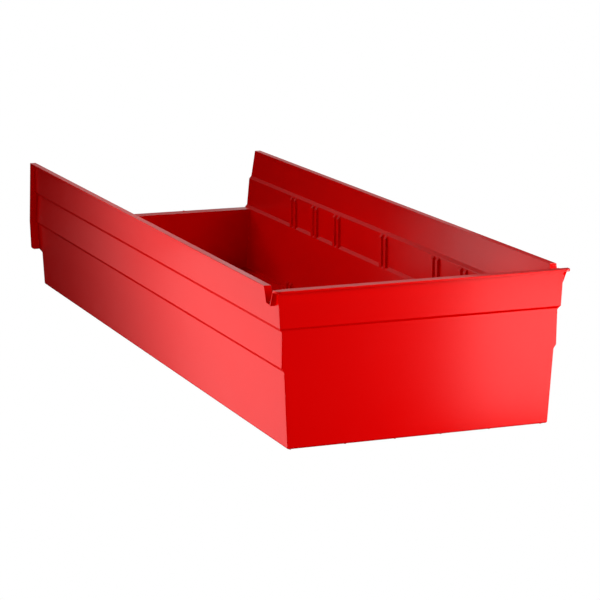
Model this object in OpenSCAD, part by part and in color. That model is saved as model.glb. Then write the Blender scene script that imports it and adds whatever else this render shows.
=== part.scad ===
// Long shelf bin: one open-topped moulding with stepped, tapering side walls, a turned-out rim,
// a pulling lip in front, a ledge with a down-turned lip behind, and guides for cross dividers.
// Millimetres. X runs across the bin, Y from front to rear, Z up. The origin is the middle of
// the rectangle that the bin covers, on the surface it stands on.

/* [Overall size] */
// Length from the edge of the front lip to the back of the hang lip
overall_length = 600; // [450:5:700]
// Width across the turned-out rims
overall_width = 210; // [150:1:320]
// Height from the floor runners to the top of the rim
overall_height = 107.5; // [98:0.5:150]

/* [Walls] */
// Thickness of the side, front and back walls
wall = 1.8; // [1.4:0.1:2.6]
// Thickness of the floor
floor_thickness = 2; // [1.4:0.1:4]
// Amount that the upper band of a side wall spreads towards its top
upper_lean = 1.5; // [0.5:0.1:4]
// Amount that the lower band of a side wall draws in towards the floor
lower_lean = 2.9; // [1:0.1:8]
// Amount that the front wall draws in towards the floor
front_lean = 2.2; // [0.5:0.1:6]

/* [Steps in the walls] */
// Height of the upper step on the outside, above the bottom of the walls
upper_step_height = 81; // [72:0.5:86]
// Height of the lower step on the outside, above the bottom of the walls
lower_step_height = 54.5; // [46:0.5:60]
// Height of the slope of each step in the side walls
step_slope = 2.6; // [1.6:0.1:4]
// Amount that each side wall comes in at a step
step_depth = 1.8; // [1:0.1:3]
// Height of the slope of the step in the front wall
front_step_slope = 1.6; // [1:0.1:3]
// Amount that the front wall comes in at its step
front_step_depth = 1.3; // [0.6:0.1:2]

/* [Rim] */
// Distance that the rim stands out beyond the top of a side wall
rim_reach = 3.2; // [2:0.1:5]
// Thickness of the rim, the ears and the front lip
rim_thickness = 1.6; // [1.2:0.1:2.2]
// Slope of the outer edge of the rim, in degrees from upright
rim_draft = 2; // [0:0.25:4]
// Distance that the front lip stands out beyond the front wall
lip_reach = 5.5; // [4.5:0.1:10]
// Radius of the front lip's corners, seen from above
lip_corner_radius = 4; // [1:0.5:4.5]

/* [Notch at each front corner] */
// Distance from the front wall to the notch, at the top
notch_start = 0.7; // [0.3:0.1:1.5]
// Distance from the front wall to the front end of the notch's floor
notch_floor_start = 7; // [5:0.1:8]
// Length of the notch's floor
notch_floor_length = 6.2; // [4:0.1:10]
// Amount that the rear side of the notch leans back towards the top
notch_rear_lean = 3.6; // [1:0.1:6]
// Depth of the notch below the top
notch_depth = 10.6; // [6:0.1:14]

/* [Rear ledge and hang lip] */
// Amount that the rear edge of a side wall leans back from its top to the ledge
rear_lean = 12.5; // [4:0.5:20]
// Gap between the back wall and the hang lip
hang_gap = 8.9; // [6:0.1:14]
// Height of the hang lip, from the top of the ledge
hang_lip_height = 24.5; // [14:0.5:34]
// Radius of the lower corners of the rear flanges
flange_corner_radius = 2.5; // [1:0.1:4]
// Height of each pip on the ledge
pip_height = 0.8; // [0.4:0.1:1.5]
// Diameter of each pip on the ledge
pip_diameter = 1.4; // [1:0.1:2.4]
// Distance of each pip from the middle of the ledge
pip_place = 36.5; // [10:0.5:60]
// Distance from the pips' centres to the rear edge of the ledge
pip_inset = 2.5; // [2:0.1:5]

/* [Divider guides] */
// Distance between two divider places
guide_pitch = 47.8; // [44:0.1:50]
// Width of each guide rib, along the wall
guide_width = 3.8; // [2:0.1:5]
// Width of the slot between the two ribs of a guide
guide_slot = 4.6; // [4.2:0.1:7]
// Height of the slope at the top of each guide rib
guide_slope = 2.6; // [1.6:0.1:4]
// Height of the foot ribs above the floor
foot_height = 6.2; // [4:0.1:12]
// Distance that the foot ribs stand out from the wall
foot_depth = 1.9; // [1:0.1:3]

/* [Floor runners] */
// Height of the runners under the floor
runner_height = 1; // [0.4:0.1:2]
// Width of each runner
runner_width = 1.2; // [0.8:0.1:4]
// Distance of the inner runners from the middle
inner_runner_place = 16.5; // [10:0.5:20]
// Distance of the middle runners from the middle
middle_runner_place = 52; // [40:0.5:56]
// Distance of the outer runners' centres from the bottom edge of the side walls
outer_runner_inset = 3.3; // [2.5:0.1:6]
// Distance that the runners stop short of the bottom edges of the front and back walls
runner_setback = 3.4; // [1:0.2:10]

/* [Hidden] */
bin_red = "#d0141b";
round_steps = 6;

// Divider places that have guides, counted from the front wall in steps of guide_pitch.
guide_numbers = [3, 4, 6, 8, 9, 10];

// Heights
base_z = runner_height;
floor_z = base_z + floor_thickness;
top_z = overall_height;
rim_z = top_z - rim_thickness;
upper_step_z = base_z + upper_step_height;
lower_step_z = base_z + lower_step_height;
notch_z = top_z - notch_depth;
ledge_z = lower_step_z;
hang_z = ledge_z - hang_lip_height;

// Half widths of the outside, from the top down
rim_half = overall_width / 2;
top_half = rim_half - rim_reach;
upper_half = top_half - upper_lean;
middle_half = upper_half - step_depth;
lower_half = middle_half - step_depth;
bottom_half = lower_half - lower_lean;

// Places along the bin
front_y = lip_reach - overall_length / 2;
rear_y = overall_length / 2;
rear_top_y = rear_y - rear_lean;
back_y = rear_y - wall - hang_gap;
back_inner_y = back_y - wall;
notch_front_y = front_y + notch_start;
notch_floor_front_y = front_y + notch_floor_start;
notch_floor_rear_y = notch_floor_front_y + notch_floor_length;
notch_rear_y = notch_floor_rear_y + notch_rear_lean;

// Half width against height, as [z, half width]: the outside and the inside of a side wall.
outside = [
    [base_z, bottom_half],
    [lower_step_z - step_slope, lower_half],
    [lower_step_z, middle_half],
    [upper_step_z - step_slope, middle_half],
    [upper_step_z, upper_half],
    [top_z, top_half],
];
inside = [
    [base_z, bottom_half - wall],
    [lower_step_z, lower_half - wall],
    [lower_step_z + step_slope, middle_half - wall],
    [upper_step_z, middle_half - wall],
    [upper_step_z + step_slope, upper_half - wall],
    [top_z, top_half - wall],
];

// Place against height, as [z, y]: the outside and the inside of the front wall.
front_outside = [
    [base_z, front_y + front_step_depth + front_lean],
    [upper_step_z - front_step_slope, front_y + front_step_depth],
    [upper_step_z, front_y],
    [top_z, front_y],
];
front_inside = [
    [base_z, front_y + front_step_depth + front_lean + wall],
    [upper_step_z, front_y + front_step_depth + wall],
    [upper_step_z + front_step_slope, front_y + wall],
    [top_z, front_y + wall],
];

function flip(points) = [for (i = [len(points) - 1 : -1 : 0]) points[i]];
function across(line) = [for (p = line) [p[1], p[0]]];
function other_side(points) = [for (p = points) [-p[0], p[1]]];
function edge_half(z) = rim_half - (top_z - z) * tan(rim_draft);
function rear_at(z) = rear_y - rear_lean * max(0, z - ledge_z) / (top_z - ledge_z);
function notch_front_at(z) = notch_floor_front_y
    - (notch_floor_front_y - notch_front_y) * (z - notch_z) / notch_depth;
function notch_rear_at(z) = notch_floor_rear_y + notch_rear_lean * (z - notch_z) / notch_depth;
function arc(middle, radius, from, to) = [
    for (i = [0 : round_steps])
        let (a = from + (to - from) * i / round_steps)
            middle + radius * [cos(a), sin(a)]
];

// A cross-section, drawn as [x, z], pulled along the bin from one place to another.
module along(points, from, to) {
    translate([0, to, 0]) rotate([90, 0, 0]) linear_extrude(to - from) polygon(points);
}

// A side view, drawn as [y, z], pulled right across the bin.
module right_across(points) {
    rotate([90, 0, 90]) linear_extrude(overall_width, center = true) polygon(points);
}

// The space between the inner faces of the side walls, from one place to another.
module between_walls(from, to) {
    along(concat(across(inside), other_side(flip(across(inside)))), from, to);
}

// The space outside the right side wall, out to the edge of the rim.
module rim_space() {
    along(concat(
        across(outside),
        [[edge_half(top_z), top_z], [edge_half(base_z), base_z]]
    ), -overall_length / 2, rear_y);
}

module floor_pan() {
    color(bin_red) intersection() {
        between_walls(front_y, back_inner_y);
        right_across([
            [lookup(base_z, front_inside), base_z],
            [back_inner_y, base_z],
            [back_inner_y, floor_z],
            [lookup(floor_z, front_inside), floor_z],
        ]);
    }
}

module floor_runners() {
    outer_place = bottom_half - outer_runner_inset;
    start_y = front_outside[0][1] + runner_setback;
    end_y = back_y - runner_setback;
    color(bin_red)
        for (place = [inner_runner_place, middle_runner_place, outer_place], side = [-1, 1])
            translate([side * place - runner_width / 2, start_y, 0])
                cube([runner_width, end_y - start_y, runner_height]);
}

module front_wall() {
    color(bin_red) intersection() {
        between_walls(front_y, notch_floor_rear_y);
        right_across(concat(across(front_outside), flip(across(front_inside))));
    }
}

// The lip runs across the front and turns back at each end to meet the ears.
module front_lip() {
    corner = [rim_half - lip_corner_radius, front_y - lip_reach + lip_corner_radius];
    half_outline = concat(
        arc(corner, lip_corner_radius, -90, 0),
        [[rim_half, notch_front_y]]
    );
    color(bin_red) difference() {
        translate([0, 0, rim_z]) linear_extrude(rim_thickness)
            polygon(concat(half_outline, other_side(flip(half_outline))));
        along(concat(across(outside), other_side(flip(across(outside)))), front_y, rear_y);
    }
}

module right_side_wall() {
    side_view = concat(across(front_outside), [
        [notch_front_y, top_z],
        [notch_floor_front_y, notch_z],
        [notch_floor_rear_y, notch_z],
        [notch_rear_y, top_z],
        [rear_top_y, top_z],
        [rear_y, ledge_z],
        [rear_y, hang_z],
        [back_y, hang_z],
        [back_y, base_z],
    ]);
    color(bin_red) intersection() {
        along(concat(across(outside), flip(across(inside))), front_y, rear_y);
        right_across(side_view);
    }
}

module right_rim() {
    color(bin_red) intersection() {
        rim_space();
        right_across([
            [notch_rear_at(rim_z), rim_z],
            [rear_at(rim_z), rim_z],
            [rear_top_y, top_z],
            [notch_rear_y, top_z],
        ]);
    }
}

// Below the rim and the lip, the ear follows the sides and the floor of the notch.
module right_front_ear() {
    front_slope = (notch_floor_front_y - notch_front_y) / notch_depth;
    rear_slope = notch_rear_lean / notch_depth;
    front_skin = rim_thickness * sqrt(1 + front_slope * front_slope);
    rear_skin = rim_thickness * sqrt(1 + rear_slope * rear_slope);
    under_z = notch_z - rim_thickness;
    color(bin_red) intersection() {
        rim_space();
        right_across([
            [notch_front_at(rim_z) - front_skin, rim_z],
            [notch_front_at(under_z) - front_skin, under_z],
            [notch_rear_at(under_z) + rear_skin, under_z],
            [notch_rear_at(rim_z) + rear_skin, rim_z],
            [notch_rear_at(rim_z), rim_z],
            [notch_floor_rear_y, notch_z],
            [notch_floor_front_y, notch_z],
            [notch_front_at(rim_z), rim_z],
        ]);
    }
}

module right_rear_flange() {
    corner = [edge_half(hang_z) - flange_corner_radius, hang_z + flange_corner_radius];
    color(bin_red) intersection() {
        rim_space();
        right_across([
            [rear_at(rim_z) - rim_thickness, rim_z],
            [rear_y - rim_thickness, ledge_z],
            [rear_y - rim_thickness, hang_z],
            [rear_y, hang_z],
            [rear_y, ledge_z],
            [rear_at(rim_z), rim_z],
        ]);
        along(concat(
            [[0, rim_z], [0, hang_z]],
            arc(corner, flange_corner_radius, -90, 0),
            [[rim_half, rim_z]]
        ), back_inner_y, rear_y);
    }
}

module back_wall() {
    color(bin_red) intersection() {
        between_walls(back_inner_y, back_y);
        right_across([
            [back_inner_y, base_z],
            [back_y, base_z],
            [back_y, ledge_z - wall],
            [back_inner_y, ledge_z - wall],
        ]);
    }
}

// The ledge tops the back wall and runs back from it to the hang lip.
module back_ledge() {
    color(bin_red) intersection() {
        between_walls(back_inner_y, rear_y);
        right_across([
            [back_inner_y, ledge_z - wall],
            [rear_y, ledge_z - wall],
            [rear_y, ledge_z],
            [back_inner_y, ledge_z],
        ]);
    }
}

module hang_lip() {
    color(bin_red) intersection() {
        between_walls(back_y, rear_y);
        right_across([
            [rear_y - wall, hang_z],
            [rear_y, hang_z],
            [rear_y, ledge_z - wall],
            [rear_y - wall, ledge_z - wall],
        ]);
    }
}

module ledge_pips() {
    color(bin_red)
        for (side = [-1, 1])
            translate([side * pip_place, rear_y - pip_inset, ledge_z])
                cylinder(h = pip_height, d = pip_diameter, $fn = 24);
}

// Two ribs beside the slot of each divider place, each with the cross-section given.
module guide_ribs(section) {
    rib_offset = (guide_slot + guide_width) / 2;
    for (place = guide_numbers, side = [-1, 1])
        let (middle = front_y + place * guide_pitch + side * rib_offset)
            along(section, middle - guide_width / 2, middle + guide_width / 2);
}

// The divider guides stand on the lower step and fill the depth of the step above it.
module right_divider_guides() {
    middle_face = middle_half - wall;
    lower_face = lower_half - wall;
    color(bin_red) guide_ribs([
        [middle_face, lower_step_z + step_slope],
        [lower_face, lower_step_z],
        [lower_face, upper_step_z - guide_slope],
        [middle_face, upper_step_z],
    ]);
}

module right_foot_guides() {
    foot_z = floor_z + foot_height;
    shoulder_z = foot_z - foot_depth;
    color(bin_red) guide_ribs([
        [lookup(floor_z, inside), floor_z],
        [lookup(floor_z, inside) - foot_depth, floor_z],
        [lookup(shoulder_z, inside) - foot_depth, shoulder_z],
        [lookup(foot_z, inside), foot_z],
    ]);
}

module left() {
    mirror([1, 0, 0]) children();
}

floor_pan();
floor_runners();
front_wall();
front_lip();
left() right_side_wall();  // left_side_wall
right_side_wall();
left() right_rim();  // left_rim
right_rim();
left() right_front_ear();  // left_front_ear
right_front_ear();
left() right_rear_flange();  // left_rear_flange
right_rear_flange();
back_wall();
back_ledge();
hang_lip();
ledge_pips();
left() right_divider_guides();  // left_divider_guides
right_divider_guides();
left() right_foot_guides();  // left_foot_guides
right_foot_guides();
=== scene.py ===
import math
import bmesh
import bpy
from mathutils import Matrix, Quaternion, Vector


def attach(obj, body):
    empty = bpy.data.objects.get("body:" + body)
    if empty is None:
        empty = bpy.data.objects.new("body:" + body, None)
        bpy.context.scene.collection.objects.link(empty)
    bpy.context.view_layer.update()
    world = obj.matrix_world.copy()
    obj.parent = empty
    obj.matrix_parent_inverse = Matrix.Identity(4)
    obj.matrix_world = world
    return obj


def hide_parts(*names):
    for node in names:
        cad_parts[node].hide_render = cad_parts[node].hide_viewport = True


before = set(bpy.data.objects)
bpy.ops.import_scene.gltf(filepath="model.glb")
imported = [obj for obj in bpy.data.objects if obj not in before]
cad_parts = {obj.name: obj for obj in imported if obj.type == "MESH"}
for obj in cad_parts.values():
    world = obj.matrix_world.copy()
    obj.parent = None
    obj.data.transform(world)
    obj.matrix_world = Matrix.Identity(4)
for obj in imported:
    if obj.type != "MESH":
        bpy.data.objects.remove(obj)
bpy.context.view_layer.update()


# The red of the moulding. The bin is one shot of polypropylene, coloured right through, with a
# satin gloss from the mould. The fine grain, the faint flow marks and the rubbed patches are
# all in the surface, so one material serves every part of it.
class Shade:
    """A socket in a node tree. A sum or a product with one adds a node to the tree."""

    def __init__(self, tree, socket=None):
        self.tree = tree
        self.socket = socket

    def node(self, kind, settings=None, sockets=None, output=0):
        """A new node, with its inputs given as plain values or as other shades."""
        made = self.tree.nodes.new(kind)
        for name, value in (settings or {}).items():
            setattr(made, name, value)
        for name, value in (sockets or {}).items():
            if isinstance(value, Shade):
                self.tree.links.new(value.socket, made.inputs[name])
            else:
                made.inputs[name].default_value = value
        return Shade(self.tree, made.outputs[output]) if made.outputs else None

    def maths(self, operation, other):
        return self.node("ShaderNodeMath", {"operation": operation}, {0: self, 1: other})

    def __add__(self, other):
        return self.maths("ADD", other)

    def __mul__(self, other):
        return self.maths("MULTIPLY", other)

    __radd__ = __add__
    __rmul__ = __mul__


def empty_shade(owner):
    """The start of the shades of a material or of the world, with no nodes in it yet."""
    owner.use_nodes = True
    owner.node_tree.nodes.clear()
    return Shade(owner.node_tree)


def noise(place, scale, detail, roughness=0.5):
    return place.node(
        "ShaderNodeTexNoise",
        None,
        {"Vector": place, "Scale": scale, "Detail": detail, "Roughness": roughness},
    )


FLOW_STRETCH = (1.0, 0.35, 1.6)
FLOW_SCALE = 9.0
RUBBED_SCALE = 38.0
GRAIN_SCALE = 1500.0
DEEPER_RED = (0.77, 0.0, 0.0, 1.0)
BRIGHTER_RED = (0.83, 0.0, 0.0, 1.0)
POLISHED = 0.165
RUBBED_PATCHES = 0.05
GRAIN_HAZE = 0.02
GRAIN_STRENGTH = 0.12
GRAIN_DEPTH = 0.0001
PLASTIC_IOR = 1.49
# A mix node's sockets have the same names for every kind of value, so these go by number.
MIX_FIRST_COLOUR = 6
MIX_SECOND_COLOUR = 7
MIXED_COLOUR = 2

moulded_red = bpy.data.materials.new("moulded_red")
red = empty_shade(moulded_red)
place = red.node("ShaderNodeTexCoord", output="Object")
along_flow = red.node("ShaderNodeMapping", None, {"Vector": place, "Scale": FLOW_STRETCH})
flow = noise(along_flow, FLOW_SCALE, 3.0)
grain = noise(place, GRAIN_SCALE, 2.0)
rubbed = noise(place, RUBBED_SCALE, 4.0, 0.65)
red_colour = red.node(
    "ShaderNodeMix",
    {"data_type": "RGBA"},
    {"Factor": flow, MIX_FIRST_COLOUR: DEEPER_RED, MIX_SECOND_COLOUR: BRIGHTER_RED},
    output=MIXED_COLOUR,
)
red_roughness = POLISHED + RUBBED_PATCHES * rubbed + GRAIN_HAZE * grain
red_bump = red.node(
    "ShaderNodeBump",
    None,
    {"Strength": GRAIN_STRENGTH, "Distance": GRAIN_DEPTH, "Height": grain},
)
red_surface = red.node(
    "ShaderNodeBsdfPrincipled",
    None,
    {
        "Base Color": red_colour,
        "Roughness": red_roughness,
        "Normal": red_bump,
        "IOR": PLASTIC_IOR,
    },
)
red.node("ShaderNodeOutputMaterial", None, {"Surface": red_surface})


# The shell: floor, four walls, and the flange that is turned out all round the top. It is one
# moulding of a nearly even thickness, with two steps in each side wall and one in the front,
# drafted so that it leaves the mould, and with every edge slightly rounded.
MM = 0.001
HALF_WIDTH = 105.0
BASE = 1.0
FLOOR = 3.0
TOP = 107.5
LIP_UNDER = 105.9
EAR_UNDER = 96.0
LEDGE = 55.5
LEDGE_UNDER = 53.7
# The lower edge of the hang lip and the rear flanges slopes down towards the back wall.
HANG = 31.0
HANG_REAR = HANG - 0.3
HANG_FORWARD = HANG - 2.0
FRONT = -294.5
LIP_FRONT = -300.0
REAR = 300.0
REAR_FLANGE_FACE = 298.4
HANG_LIP_FACE = 298.2
BACK_OUTER = 289.3
BACK_INNER = 287.5
# The right wall's outer and inner face as (x, z), from the foot up.
OUTSIDE = [(93.8, 1.0), (96.7, 52.9), (98.5, 55.5), (98.5, 79.4), (100.3, 82.0), (101.8, 107.5)]
INSIDE = [(92.0, 1.0), (94.9, 55.5), (96.7, 58.1), (96.7, 82.0), (98.5, 84.6), (100.0, 107.5)]
# Where the cutting shapes end, clear of what they cut.
FAR = 330.0
CLEAR_SIDE = 130.0
CLEAR_FRONT = -310.0
CLEAR_FOOT = -20.0
CLEAR_TOP = TOP + 10.0
CLEAR_ABOVE = 130.0
RING_FOOT = -10.0
SLOT_FOOT = 10.0
FLANGE_CUT_TOP = 20.0


def placed(name, data):
    """A new object in the scene."""
    made = bpy.data.objects.new(name, data)
    bpy.context.scene.collection.objects.link(made)
    return made


def as_modified(piece):
    """The mesh of the piece as its modifiers leave it."""
    return bpy.data.meshes.new_from_object(
        piece.evaluated_get(bpy.context.evaluated_depsgraph_get())
    )


def solid(name, corners, faces):
    mesh = bpy.data.meshes.new(name)
    mesh.from_pydata([[MM * c for c in corner] for corner in corners], [], faces)
    made = bmesh.new()
    made.from_mesh(mesh)
    bmesh.ops.recalc_face_normals(made, faces=made.faces)
    made.to_mesh(mesh)
    made.free()
    return placed(name, mesh)


def between_rings(name, first, second):
    """A closed solid between two rings of as many corners each."""
    n = len(first)
    faces = [list(range(n)), list(range(n, 2 * n))]
    faces += [[i, (i + 1) % n, n + (i + 1) % n, n + i] for i in range(n)]
    return solid(name, list(first) + list(second), faces)


def pulled_along(name, section, start=-FAR, end=FAR):
    """A section of (x, z) corners, pulled from the front to the rear."""
    return between_rings(
        name, [(x, start, z) for x, z in section], [(x, end, z) for x, z in section]
    )


def pulled_across(name, side_view, start=-FAR, end=FAR):
    """A side view of (y, z) corners, pulled across the bin."""
    return between_rings(
        name, [(start, y, z) for y, z in side_view], [(end, y, z) for y, z in side_view]
    )


def work(piece, tool, operation):
    """A boolean of the piece with the tool, which is used up."""
    cut = piece.modifiers.new("work", "BOOLEAN")
    cut.object = tool
    cut.operation = operation
    cut.solver = "EXACT"
    shaped = as_modified(piece)
    piece.modifiers.remove(cut)
    piece.data = shaped
    bpy.data.objects.remove(tool)


def reaching(line, z):
    """The profile with its first or last slope carried on to the height z."""
    below = z < line[0][1]
    (xa, za), (xb, zb) = (line[1], line[0]) if below else (line[-2], line[-1])
    end = (xb + (xb - xa) * (z - zb) / (zb - za), z)
    return [end] + line if below else line + [end]


def mirrored(line):
    return [(-x, z) for x, z in reversed(line)]


RIM_DRAFT = math.tan(math.radians(2.0))
LIP_CORNER = 4.0
ROUND_STEPS = 10


def rim_ring(z):
    """The outline of the whole bin seen from above, with the lip's two rounded corners."""
    half = HALF_WIDTH - (TOP - z) * RIM_DRAFT
    corner = []
    for i in range(ROUND_STEPS + 1):
        angle = math.radians(-90 + 90 * i / ROUND_STEPS)
        x = half - LIP_CORNER + LIP_CORNER * math.cos(angle)
        y = LIP_FRONT + LIP_CORNER + LIP_CORNER * math.sin(angle)
        corner.append((x, y, z))
    right = corner + [(half, FAR, z)]
    return right + [(-x, y, z) for x, y, z in reversed(right)]


# The block of the whole bin, with the front wall's step and the sloping rear edges.
shell = between_rings("shell", rim_ring(RING_FOOT), rim_ring(CLEAR_TOP))
shell_side = [
    (-291.0, BASE), (BACK_OUTER, BASE), (BACK_OUTER, HANG_FORWARD), (REAR, HANG_REAR),
    (REAR, LEDGE), (BACK_INNER, TOP), (CLEAR_FRONT, TOP), (CLEAR_FRONT, LIP_UNDER),
    (FRONT, LIP_UNDER), (FRONT, 82.0), (-293.2, 80.4),
]
work(shell, pulled_across("side", shell_side), "INTERSECT")

# Outside the walls everything is taken away but the flange, which runs along the top, round
# the notch at each front corner and down the rear edges, all of one thickness.
outside_line = reaching(reaching(OUTSIDE, CLEAR_FOOT), CLEAR_TOP)
outside_line += [(CLEAR_SIDE, CLEAR_TOP), (CLEAR_SIDE, CLEAR_FOOT)]
below_flange = [
    (-FAR, CLEAR_FOOT), (FAR, CLEAR_FOOT), (FAR, FLANGE_CUT_TOP),
    (REAR_FLANGE_FACE, FLANGE_CUT_TOP), (REAR_FLANGE_FACE, LEDGE), (286.285, LIP_UNDER),
    (-276.554, LIP_UNDER), (-279.916, EAR_UNDER), (-288.250, EAR_UNDER),
    (-293.700, LIP_UNDER), (-FAR, LIP_UNDER),
]
for side in (1, -1):
    recess = pulled_along("recess", [(side * x, z) for x, z in outside_line])
    work(recess, pulled_across("below", below_flange), "INTERSECT")
    work(shell, recess, "DIFFERENCE")

# The inside, which opens to the rear above the ledge, and the slot that the hang lip leaves.
inside_line = reaching(reaching(INSIDE, CLEAR_FOOT), CLEAR_TOP)
hollow_side = [
    (-289.254, FLOOR), (BACK_INNER, FLOOR), (BACK_INNER, LEDGE), (FAR, LEDGE),
    (FAR, CLEAR_ABOVE), (-292.7, CLEAR_ABOVE), (-292.7, 83.6), (-291.4, 82.0),
]
slot_side = [
    (BACK_OUTER, SLOT_FOOT), (HANG_LIP_FACE, SLOT_FOOT),
    (HANG_LIP_FACE, LEDGE_UNDER), (BACK_OUTER, LEDGE_UNDER),
]
for opening in (hollow_side, slot_side):
    hollow = pulled_along("hollow", inside_line + mirrored(inside_line))
    work(hollow, pulled_across("hollow_side", opening), "INTERSECT")
    work(shell, hollow, "DIFFERENCE")

# The notch at each front corner goes right through the side wall and its flange.
NOTCH_START = 98.9
notch_side = [(-287.5, 96.9), (-301.824, 121.0), (-273.115, 121.0), (-281.3, 96.9)]
for side in (1, -1):
    notch = pulled_across("notch", notch_side, side * NOTCH_START, side * CLEAR_SIDE)
    work(shell, notch, "DIFFERENCE")

# The lower corners of the two rear flanges are round.
FLANGE_CORNER = 2.5
flange_edge = HALF_WIDTH - (TOP - HANG - FLANGE_CORNER) * RIM_DRAFT
for side in (1, -1):
    corner = []
    for degrees in range(-90, 1, 10):
        angle = math.radians(degrees)
        x = side * (flange_edge - FLANGE_CORNER * (1 - math.cos(angle)))
        corner.append((x, HANG_REAR + FLANGE_CORNER * (1 + math.sin(angle))))
    beyond = [(side * FAR, corner[-1][1]), (side * FAR, SLOT_FOOT), (corner[0][0], SLOT_FOOT)]
    work(shell, pulled_along("corner", corner + beyond, BACK_OUTER, FAR), "DIFFERENCE")

# Every edge is softened: a little along the flange and the lip, more round the bottom and where
# two walls or a wall and the floor run into each other.
BOTTOM_ROUND = 1.25
INNER_ROUND = 1.1
CORNER_ROUND = 0.5
EDGE_ROUND = 0.26
# Turns in degrees, lengths and places in mm, which tell the edges apart.
SHARP_TURN = 60
SLIGHT_TURN = 12
LONG_EDGE = 20
FOOT_TOP = BASE + 0.1
INSIDE_TOP = LIP_UNDER - 1
INSIDE_HALF = 99.9
FRONT_CORNER_TOP = 81
FRONT_CORNER_REAR = -290


def edge_radius(edge):
    """How far an edge of the shell is rounded, which its turn and its place decide."""
    turn = math.degrees(edge.calc_face_angle_signed(0.0))
    middle = (edge.verts[0].co + edge.verts[1].co) / (2 * MM)
    if abs(turn) < SLIGHT_TURN:
        return 0.0
    if turn > SHARP_TURN and middle.z < FOOT_TOP:
        return BOTTOM_ROUND
    if abs(turn) < SHARP_TURN or edge.calc_length() < LONG_EDGE * MM:
        return EDGE_ROUND
    if turn > 0 and middle.z < FRONT_CORNER_TOP and middle.y < FRONT_CORNER_REAR:
        return CORNER_ROUND
    inside = abs(middle.x) < INSIDE_HALF and middle.y < BACK_OUTER
    if turn < 0 and inside and middle.z < INSIDE_TOP:
        return INNER_ROUND
    return EDGE_ROUND


# The corners that the booleans left double, and the edges they left across flat faces, go.
SHELL_WELD = 0.002 * MM
FLAT = math.radians(0.2)
made = bmesh.new()
made.from_mesh(shell.data)
bmesh.ops.remove_doubles(made, verts=made.verts, dist=SHELL_WELD)
bmesh.ops.dissolve_limit(made, angle_limit=FLAT, verts=made.verts, edges=made.edges)
bmesh.ops.recalc_face_normals(made, faces=made.faces)
round_share = made.edges.layers.float.new("bevel_weight_edge")
for edge in made.edges:
    edge[round_share] = edge_radius(edge) / BOTTOM_ROUND
made.to_mesh(shell.data)
made.free()
rounding = shell.modifiers.new("rounding", "BEVEL")
rounding.width = BOTTOM_ROUND * MM
rounding.segments = 3
rounding.limit_method = "WEIGHT"
rounding.use_clamp_overlap = False
shaped = as_modified(shell)
bpy.data.objects.remove(shell)

# The moulding is kept as its floor and its four walls, parted by cuts through the plastic that
# don't show. Each part keeps the whole one's shading, so the surface runs on to the next.
FORWARD = (0, -1, 0)
REARWARD = (0, 1, 0)
UP = (0, 0, 1)
DOWN = (0, 0, -1)
MIDDLE = (0, 0, 0)
FRONT_PART = (0, -286.0, 0)
REAR_PART = (0, 284.0, 0)
FLOOR_PART = (0, 0, 8.0)
PART_SNAP = 1e-7
SIDES = ((1, "right"), (-1, "left"))
BETWEEN = [(FRONT_PART, REARWARD), (REAR_PART, FORWARD)]
PARTS = [
    ("front_panel", [(FRONT_PART, FORWARD)], ["front_wall", "front_lip"]),
    ("rear_panel", [(REAR_PART, REARWARD)], ["back_wall", "back_ledge", "hang_lip"]),
    ("floor_panel", BETWEEN + [(FLOOR_PART, DOWN)], ["floor_pan"]),
]
for side, hand in SIDES:
    PARTS.append((
        hand + "_panel",
        BETWEEN + [(FLOOR_PART, UP), (MIDDLE, (side, 0, 0))],
        [hand + "_" + kind for kind in ("side_wall", "rim", "front_ear", "rear_flange")],
    ))
for name, planes, nodes in PARTS:
    made = bmesh.new()
    made.from_mesh(shaped)
    for face in made.faces:
        face.smooth = True
    for point, kept_way in planes:
        bmesh.ops.bisect_plane(
            made, geom=made.verts[:] + made.edges[:] + made.faces[:], dist=PART_SNAP,
            plane_co=[MM * c for c in point], plane_no=kept_way, clear_inner=True,
        )
        open_edges = [edge for edge in made.edges if edge.is_boundary]
        bmesh.ops.edgeloop_fill(made, edges=open_edges)
        for edge in open_edges:
            edge.smooth = False
    mesh = bpy.data.meshes.new(name)
    made.to_mesh(mesh)
    made.free()
    panel = placed(name, mesh)
    mesh.materials.append(moulded_red)
    shading = panel.modifiers.new("shading", "WEIGHTED_NORMAL")
    shading.mode = "FACE_AREA"
    shading.weight = 100
    shading.keep_sharp = True
    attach(panel, "root")
    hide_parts(*nodes)


# The ribs for the dividers and the runners under the floor. Each is a straight bar, cut into
# the mould beside the next one, so a row of them is one section set at several places.
BAR_WELD = 0.001 * MM
BAR_ROUND = 0.2


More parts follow.
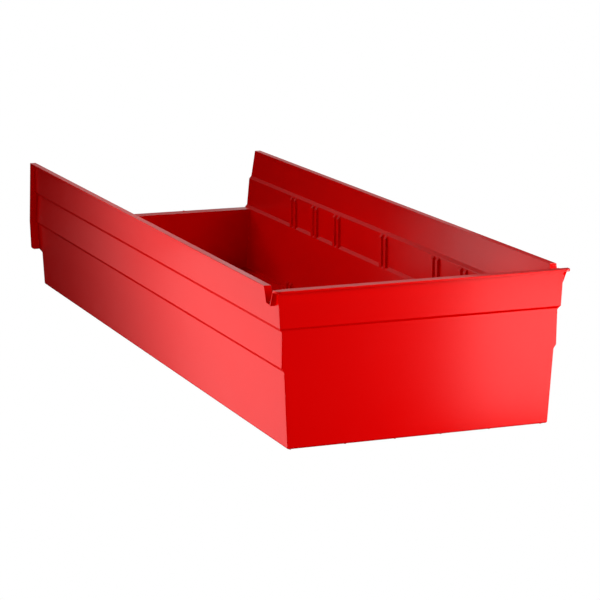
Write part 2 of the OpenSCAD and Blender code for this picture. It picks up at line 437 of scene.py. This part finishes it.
def bar_row_tree():
    """Geometry nodes that pull a four-cornered section into a bar and set it at each point."""
    tree = bpy.data.node_groups.new("bar_row", "GeometryNodeTree")
    ask = tree.interface.new_socket
    ask("Geometry", in_out="INPUT", socket_type="NodeSocketGeometry")
    for corner in "ABCD":
        ask("Corner " + corner, in_out="INPUT", socket_type="NodeSocketVector")
    ask("Bar Length", in_out="INPUT", socket_type="NodeSocketFloat")
    ask("Finish", in_out="INPUT", socket_type="NodeSocketMaterial")
    ask("Geometry", in_out="OUTPUT", socket_type="NodeSocketGeometry")
    add = tree.nodes.new
    link = tree.links.new
    given = add("NodeGroupInput")
    section = add("GeometryNodeCurvePrimitiveQuadrilateral")
    section.mode = "POINTS"
    for i, corner in enumerate("ABCD"):
        link(given.outputs["Corner " + corner], section.inputs["Point " + str(i + 1)])
    face = add("GeometryNodeFillCurve")
    link(section.outputs[0], face.inputs["Curve"])
    lengthways = add("ShaderNodeCombineXYZ")
    link(given.outputs["Bar Length"], lengthways.inputs["Z"])
    sides = add("GeometryNodeExtrudeMesh")
    sides.inputs["Individual"].default_value = False
    link(face.outputs[0], sides.inputs["Mesh"])
    link(lengthways.outputs[0], sides.inputs["Offset"])
    start = add("GeometryNodeFlipFaces")
    link(face.outputs[0], start.inputs[0])
    closed = add("GeometryNodeJoinGeometry")
    link(sides.outputs[0], closed.inputs[0])
    link(start.outputs[0], closed.inputs[0])
    welded = add("GeometryNodeMergeByDistance")
    welded.inputs["Distance"].default_value = BAR_WELD
    link(closed.outputs[0], welded.inputs[0])
    upright = add("GeometryNodeTransform")
    upright.inputs["Rotation"].default_value = (math.radians(90.0), 0.0, 0.0)
    link(welded.outputs[0], upright.inputs[0])
    row = add("GeometryNodeInstanceOnPoints")
    link(given.outputs["Geometry"], row.inputs["Points"])
    link(upright.outputs[0], row.inputs["Instance"])
    real = add("GeometryNodeRealizeInstances")
    link(row.outputs[0], real.inputs[0])
    finish = add("GeometryNodeSetMaterial")
    link(real.outputs[0], finish.inputs["Geometry"])
    link(given.outputs["Finish"], finish.inputs["Material"])
    result = add("NodeGroupOutput")
    link(finish.outputs[0], result.inputs[0])
    return tree


bar_row = bar_row_tree()


def row_of_bars(name, section, places, length):
    """Bars of one section, given as four (x, z) corners, each ending at one of the places."""
    mesh = bpy.data.meshes.new(name)
    mesh.from_pydata([[MM * c for c in spot] for spot in places], [], [])
    piece = placed(name, mesh)
    maker = piece.modifiers.new("bars", "NODES")
    maker.node_group = bar_row
    sockets = {
        item.name: item.identifier
        for item in bar_row.interface.items_tree
        if item.in_out == "INPUT"
    }
    for corner, (x, z) in zip("ABCD", section):
        maker[sockets["Corner " + corner]] = (MM * x, MM * z, 0.0)
    maker[sockets["Bar Length"]] = MM * length
    maker[sockets["Finish"]] = moulded_red
    plain = as_modified(piece)
    piece.modifiers.remove(maker)
    piece.data = plain
    made = bmesh.new()
    made.from_mesh(plain)
    bmesh.ops.recalc_face_normals(made, faces=made.faces)
    made.to_mesh(plain)
    made.free()
    for face in plain.polygons:
        face.use_smooth = True
    soften = piece.modifiers.new("rounding", "BEVEL")
    soften.width = BAR_ROUND * MM
    soften.segments = 3
    soften.limit_method = "ANGLE"
    soften.angle_limit = math.radians(20.0)
    soften.harden_normals = True
    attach(piece, "root")
    return piece


# A pair of ribs holds the edge of each divider, and a short pair stands at the floor below.
GUIDE_PLACES = (3, 4, 6, 8, 9, 10)
GUIDE_PITCH = 47.8
RIB_WIDTH = 3.8
RIB_OFFSET = 4.2
rib_ends = [
    FRONT + n * GUIDE_PITCH + shift * RIB_OFFSET + RIB_WIDTH / 2
    for n in GUIDE_PLACES
    for shift in (-1, 1)
]
guide_section = [(97.8, 58.8), (94.9, 54.9), (94.9, 79.4), (97.8, 83.4)]
foot_section = [(93.2, 2.1), (90.17, 2.1), (90.43, 7.3), (93.3, 10.02)]
for side, hand in SIDES:
    for kind, section in (("divider", guide_section), ("foot", foot_section)):
        ribs = row_of_bars(
            hand + "_" + kind + "_ribs",
            [(side * x, z) for x, z in section],
            [(0.0, y, 0.0) for y in rib_ends],
            RIB_WIDTH,
        )
        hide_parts(hand + "_" + kind + "_guides")

# The runners go a little way into the floor, which they are moulded with.
RUNNER_PLACES = (16.5, 52.0, 90.5)
RUNNER_HALF_WIDTH = 0.6
RUNNER_TOP = 1.3
RUNNER_START = -287.6
RUNNER_END = 285.9
runners = row_of_bars(
    "runner_bars",
    [
        (-RUNNER_HALF_WIDTH, 0.0), (RUNNER_HALF_WIDTH, 0.0),
        (RUNNER_HALF_WIDTH, RUNNER_TOP), (-RUNNER_HALF_WIDTH, RUNNER_TOP),
    ],
    [(side * x, RUNNER_END, 0.0) for x in RUNNER_PLACES for side in (1, -1)],
    RUNNER_END - RUNNER_START,
)
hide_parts("floor_runners")


# The two pips on the ledge: small round studs, moulded with it. Each has a straight stem,
# which goes a little way into the ledge, and a domed top.
PIP_ACROSS = 36.5
PIP_BACK = 297.5
PIP_RADIUS = 0.7
PIP_HEIGHT = 0.8
PIP_STRAIGHT = 0.35
PIP_SUNK = 0.3
PIP_SIDES = 20
pips = placed("stacking_pips", bpy.data.meshes.new("stacking_pips"))
made = bmesh.new()
for side in (1, -1):
    centre = Vector((side * PIP_ACROSS, PIP_BACK, LEDGE)) * MM
    profile = [(PIP_RADIUS, -PIP_SUNK), (PIP_RADIUS, PIP_STRAIGHT)]
    for degrees in (22.5, 45.0, 67.5):
        angle = math.radians(degrees)
        rise = (PIP_HEIGHT - PIP_STRAIGHT) * math.sin(angle)
        profile.append((PIP_RADIUS * math.cos(angle), PIP_STRAIGHT + rise))
    rings = []
    for radius, height in profile:
        ring = []
        for i in range(PIP_SIDES):
            angle = math.tau * i / PIP_SIDES
            spot = Vector((radius * math.cos(angle), radius * math.sin(angle), height))
            ring.append(made.verts.new(centre + MM * spot))
        rings.append(ring)
    for lower, upper in zip(rings, rings[1:]):
        for i in range(PIP_SIDES):
            after = (i + 1) % PIP_SIDES
            made.faces.new((lower[i], lower[after], upper[after], upper[i]))
    tip = made.verts.new(centre + MM * Vector((0.0, 0.0, PIP_HEIGHT)))
    for i in range(PIP_SIDES):
        made.faces.new((rings[-1][i], rings[-1][(i + 1) % PIP_SIDES], tip))
    made.faces.new(list(reversed(rings[0])))
bmesh.ops.recalc_face_normals(made, faces=made.faces)
made.to_mesh(pips.data)
made.free()
for face in pips.data.polygons:
    face.use_smooth = len(face.vertices) < PIP_SIDES
pips.data.materials.append(moulded_red)
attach(pips, "root")
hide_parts("ledge_pips")


# The studio: a pale floor, a white background, soft lights and the camera. None of it is part
# of the bin. Places and sizes here are in metres.
WHITE = (1.0, 1.0, 1.0, 1.0)
FLOOR_REACH = 8.0
floor_corners = [
    (FLOOR_REACH * x, FLOOR_REACH * y, 0.0) for x, y in ((-1, -1), (1, -1), (1, 1), (-1, 1))
]
floor_mesh = bpy.data.meshes.new("studio_floor")
floor_mesh.from_pydata(floor_corners, [], [(0, 1, 2, 3)])
floor = placed("studio_floor", floor_mesh)
pale = bpy.data.materials.new("pale_floor")
paint = empty_shade(pale)
glow = paint.node("ShaderNodeEmission", None, {"Color": WHITE, "Strength": 1.0})
paint.node("ShaderNodeOutputMaterial", None, {"Surface": glow})
floor_mesh.materials.append(pale)
floor.visible_diffuse = False
floor.visible_glossy = False
floor.visible_shadow = False

# The background is white for the camera alone and gives the bin no light.
world = bpy.data.worlds.new("studio")
bpy.context.scene.world = world
sky = empty_shade(world)
seen = sky.node("ShaderNodeLightPath", output="Is Camera Ray")
air = sky.node("ShaderNodeBackground", None, {"Color": WHITE, "Strength": seen})
sky.node("ShaderNodeOutputWorld", None, {"Surface": air})


def softbox(name, place, aim, width, height, power):
    """A flat lamp that the camera doesn't see, turned to face the spot it aims at."""
    lamp = bpy.data.lights.new(name, "AREA")
    lamp.shape = "RECTANGLE"
    lamp.size = width
    lamp.size_y = height
    lamp.energy = power
    light = placed(name, lamp)
    light.visible_camera = False
    light.location = place
    light.rotation_euler = (Vector(aim) - Vector(place)).to_track_quat("-Z", "Y").to_euler()
    return light


# The name, the place, the spot it faces, the width and the power of each square lamp.
BIN_MIDDLE = (0.0, 0.0, 0.05)
LAMPS = [
    ("front_right_high", (0.500, -0.700, 0.250), (0.25, -0.30, 0.06), 0.25, 4.359),
    ("front_right", (0.400, -0.500, 0.100), (0.10, -0.30, 0.06), 0.20, 1.893),
    ("front_sheen", (0.282, -0.637, -0.040), (0.10, -0.292, 0.05), 0.15, 0.149),
    ("left_front", (-0.320, -0.315, 0.030), (-0.10, -0.29, 0.05), 0.15, 0.460),
    ("left_middle", (-0.320, -0.120, 0.020), (-0.10, -0.12, 0.05), 0.15, 0.431),
    ("left_high", (-0.280, 0.000, 0.200), (-0.10, 0.0, 0.05), 0.15, 0.214),
    ("left_sheen", (-0.485, 0.697, -0.211), (-0.10, -0.30, 0.05), 0.40, 0.183),
    ("left_sheen_near", (-0.275, 0.153, -0.069), (-0.10, -0.30, 0.05), 0.20, 0.029),
    ("rear_left_high", (-0.574, 0.993, 1.688), BIN_MIDDLE, 0.80, 5.897),
    ("rear_left", (-1.057, 1.095, 0.544), BIN_MIDDLE, 0.40, 3.443),
    ("rear", (-0.470, 1.447, 0.544), BIN_MIDDLE, 0.40, 0.084),
    ("rear_right", (0.866, 1.500, 1.050), BIN_MIDDLE, 0.80, 1.080),
    ("rear_right_high", (0.300, 0.800, 1.500), (0.0, 0.0, 0.10), 0.50, 2.000),
    ("right_high", (0.993, -0.574, 1.688), BIN_MIDDLE, 0.80, 10.372),
]
# These four only brighten the walls: they leave no mirror image in the corners.
UNMIRRORED = ("left_front", "left_middle", "left_high", "front_right_high")
for name, place, aim, size, power in LAMPS:
    light = softbox(name, place, aim, size, size, power)
    light.visible_glossy = name not in UNMIRRORED

# Two low lamps far behind give the tops of the rims and of the lip their pale line.
RIM_MIDDLE = (0.0, 0.0, 0.107)
softbox("rim_sheen_left", (0.325, 1.500, 0.420), RIM_MIDDLE, 0.45, 0.30, 0.190)
softbox("rim_sheen_right", (0.700, 1.500, 0.390), RIM_MIDDLE, 0.36, 0.42, 0.135)

# Four small lamps give the inside of the right wall its sheen. They light nothing else, and
# the left wall doesn't stand in their way.
INSIDE_LAMPS = [
    ("inside_sheen", (-0.110, 0.108, 0.113), (0.10, -0.29, 0.09), 0.16, 0.042),
    ("inside_sheen_low", (-0.098, 0.175, 0.003), (0.10, -0.22, 0.09), 0.16, 0.014),
    ("inside_sheen_front", (-0.114, 0.025, -0.004), (0.10, -0.36, 0.09), 0.16, 0.039),
    ("inside_sheen_corner", (-0.025, -0.240, 0.035), (0.10, -0.45, 0.09), 0.10, 0.098),
]
lit_side = bpy.data.collections.new("lit_side")
for piece_name in ("right_panel", "right_divider_ribs"):
    lit_side.objects.link(bpy.data.objects[piece_name])
in_the_way = bpy.data.collections.new("in_the_way")
in_the_way.objects.link(floor)
for name, place, aim, size, power in INSIDE_LAMPS:
    light = softbox(name, place, aim, size, size, power)
    light.light_linking.receiver_collection = lit_side
    light.light_linking.blocker_collection = in_the_way

# A long lens, a little to the left of the bin and above it, with a trace of roll.
CAMERA_PLACE = (-0.63473, -1.68280, 0.41181)
CAMERA_AIM = (0.359443, 0.910485, -0.204495)
CAMERA_ROLL = 0.001276
camera_data = bpy.data.cameras.new("camera")
camera_data.sensor_fit = "HORIZONTAL"
camera_data.sensor_width = 36.0
camera_data.lens = 143.743
camera = placed("camera", camera_data)
camera.location = CAMERA_PLACE
level = Vector(CAMERA_AIM).to_track_quat("-Z", "Y")
camera.rotation_euler = (level @ Quaternion((0.0, 0.0, 1.0), CAMERA_ROLL)).to_euler()
bpy.context.scene.camera = camera
bpy.context.scene.view_settings.view_transform = "Standard"
